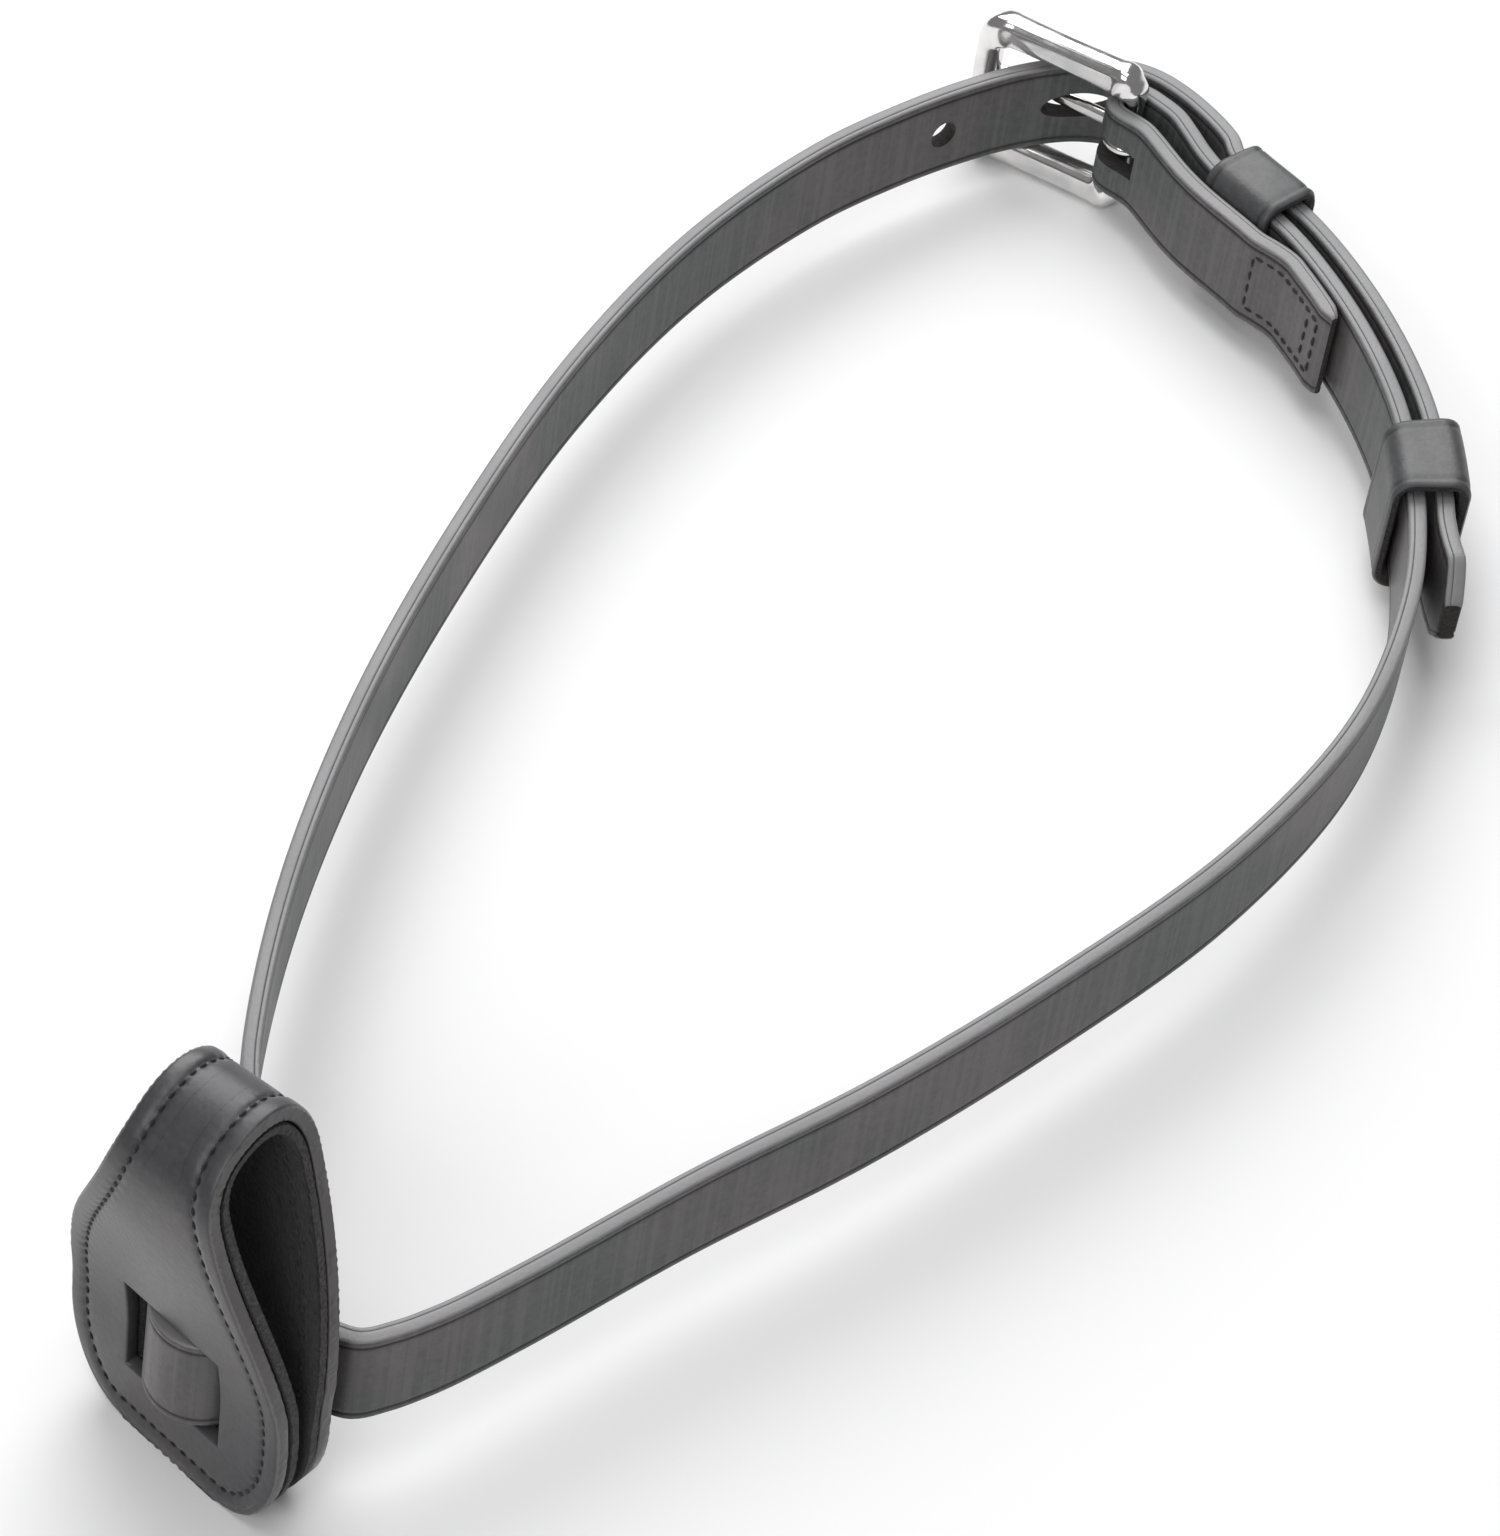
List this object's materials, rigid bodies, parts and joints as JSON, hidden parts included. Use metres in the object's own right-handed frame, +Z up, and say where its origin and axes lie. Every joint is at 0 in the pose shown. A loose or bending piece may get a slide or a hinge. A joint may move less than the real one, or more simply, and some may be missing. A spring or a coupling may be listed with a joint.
{
  "type": "buckled leather strap with attachment loop",
  "caption": "Narrow leather strap buckled into a ring, with keepers and a folded, lined and stitched leather loop that slides on it and hangs it from a wider band.",
  "frame": {"origin": "middle of the footprint, on the surface that the loop and the buckle stand on", "axes": "+Z up, +X from the attachment loop to the buckle, +Y to the far side of the strap ring"},
  "size_m": [0.2478, 0.1216, 0.0566],
  "materials": {
    "strap_leather": "satin black, dressed edges",
    "keeper_leather": "satin black",
    "loop_leather": "smooth satin black with a soft sheen",
    "loop_lining": "black brushed felt",
    "buckle_steel": "polished stainless steel",
    "black_thread": "waxed black thread"
  },
  "bodies": {
    "strap_body": {"strap": "strap_leather", "fixed_keeper": "keeper_leather", "box_thread": "black_thread", "box_thread_back": "black_thread", "cross_thread": "black_thread", "cross_thread_back": "black_thread"},
    "buckle": {"buckle_frame": "buckle_steel"},
    "tongue": {"buckle_tongue": "buckle_steel"},
    "keeper": {"sliding_keeper": "keeper_leather"},
    "loop": {"loop_leather": "loop_leather", "loop_lining": "loop_lining", "loop_edge_thread": "black_thread", "loop_lining_thread": "black_thread"}
  },
  "joints": [
    {"name": "buckle_hinge", "type": "hinge", "parent": "strap_body", "child": "buckle", "pos_m": [0.11491, 0.02854, 0.01109], "axis": [0.2079, 0, 0.9781], "range_deg": [-1.5, 2]},
    {"name": "tongue_hinge", "type": "hinge", "parent": "buckle", "child": "tongue", "pos_m": [0.11491, 0.02854, 0.01109], "axis": [0.2079, 0, 0.9781], "range_deg": [-1.5, 0]},
    {"name": "keeper_slide", "type": "slide", "parent": "strap_body", "child": "keeper", "axis": [-0.7647, -0.6441, 0.017], "range_m": [-0.005, 0.005]},
    {"name": "loop_rock", "type": "hinge", "parent": "strap_body", "child": "loop", "pos_m": [-0.11541, -0.00586, 0.01635], "axis": [-0.1271, -0.9919, 0], "range_deg": [-5, 5]}
  ]
}
